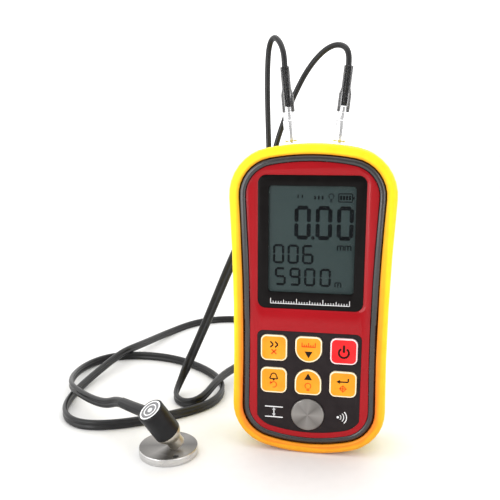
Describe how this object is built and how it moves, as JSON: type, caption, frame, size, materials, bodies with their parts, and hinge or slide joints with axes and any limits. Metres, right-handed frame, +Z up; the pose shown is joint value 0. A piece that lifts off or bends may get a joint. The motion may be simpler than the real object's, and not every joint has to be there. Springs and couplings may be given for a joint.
{
  "type": "ultrasonic thickness gauge",
  "caption": "Hand-held gauge in a rubber boot with display, keypad, calibration block and a contact probe on a twin cable, resting on a steel disc.",
  "frame": {"origin": "middle of the flat on the boot's base", "axes": "+Z up along the case, -Y out of the face, +X to the right as seen from the front"},
  "size_m": [0.2036, 0.2476, 0.211],
  "materials": {
    "yellow_rubber": "satin",
    "black_gloss": "gloss",
    "black_matte": "matte",
    "red_gloss": "gloss",
    "display_window": "gloss",
    "lcd": "satin",
    "white_plastic": "matte",
    "orange_keys": "satin",
    "red_key": "satin",
    "grey_silicone": "matte",
    "brushed_steel": "brushed",
    "green_board": "satin",
    "cell_steel": "satin",
    "chrome": "polished",
    "sleeve_black": "satin",
    "cable_black": "satin",
    "probe_black": "satin",
    "label_silver": "satin",
    "barrel_steel": "turned",
    "delay_resin": "gloss",
    "turned_steel": "turned"
  },
  "bodies": {
    "gauge": {"rubber_boot": "yellow_rubber", "front_case": "black_gloss", "rear_case": "black_matte", "face_panel": "red_gloss", "display_lens": "display_window", "lcd_glass": "lcd", "lcd_frame": "black_matte", "lcd_backlight": "white_plastic", "keypad_panel": "black_gloss", "key_mat": "grey_silicone", "calibration_block": "brushed_steel", "circuit_board": "green_board", "board_chips": "black_matte", "buzzer": "black_matte", "battery_cells": "cell_steel", "battery_contacts": "brushed_steel", "battery_cover": "black_matte", "cover_screw": "brushed_steel", "case_screws": "brushed_steel", "socket_left": "chrome", "socket_right": "chrome", "plug_left": "chrome", "plug_right": "chrome", "sleeve_left": "sleeve_black", "sleeve_right": "sleeve_black", "lead_left": "cable_black", "lead_right": "cable_black", "cable_splitter": "cable_black", "twin_cable": "cable_black", "probe_strain_relief": "sleeve_black", "probe_housing": "probe_black", "probe_label": "label_silver", "probe_barrel": "barrel_steel", "delay_line": "delay_resin", "test_disc": "turned_steel"},
    "body_key_speed": {"key_speed": "orange_keys"},
    "body_key_unit": {"key_unit": "orange_keys"},
    "body_key_power": {"key_power": "red_key"},
    "body_key_alarm": {"key_alarm": "orange_keys"},
    "body_key_up": {"key_up": "orange_keys"},
    "body_key_enter": {"key_enter": "orange_keys"}
  },
  "joints": [
    {"name": "key_speed_press", "type": "slide", "parent": "gauge", "child": "body_key_speed", "axis": [0, 1, 0], "range_m": [0, 0.0005], "stiffness_N_per_m": 1200},
    {"name": "key_unit_press", "type": "slide", "parent": "gauge", "child": "body_key_unit", "axis": [0, 1, 0], "range_m": [0, 0.0005], "stiffness_N_per_m": 1200},
    {"name": "key_power_press", "type": "slide", "parent": "gauge", "child": "body_key_power", "axis": [0, 1, 0], "range_m": [0, 0.0005], "stiffness_N_per_m": 1200},
    {"name": "key_alarm_press", "type": "slide", "parent": "gauge", "child": "body_key_alarm", "axis": [0, 1, 0], "range_m": [0, 0.0005], "stiffness_N_per_m": 1200},
    {"name": "key_up_press", "type": "slide", "parent": "gauge", "child": "body_key_up", "axis": [0, 1, 0], "range_m": [0, 0.0005], "stiffness_N_per_m": 1200},
    {"name": "key_enter_press", "type": "slide", "parent": "gauge", "child": "body_key_enter", "axis": [0, 1, 0], "range_m": [0, 0.0005], "stiffness_N_per_m": 1200}
  ]
}
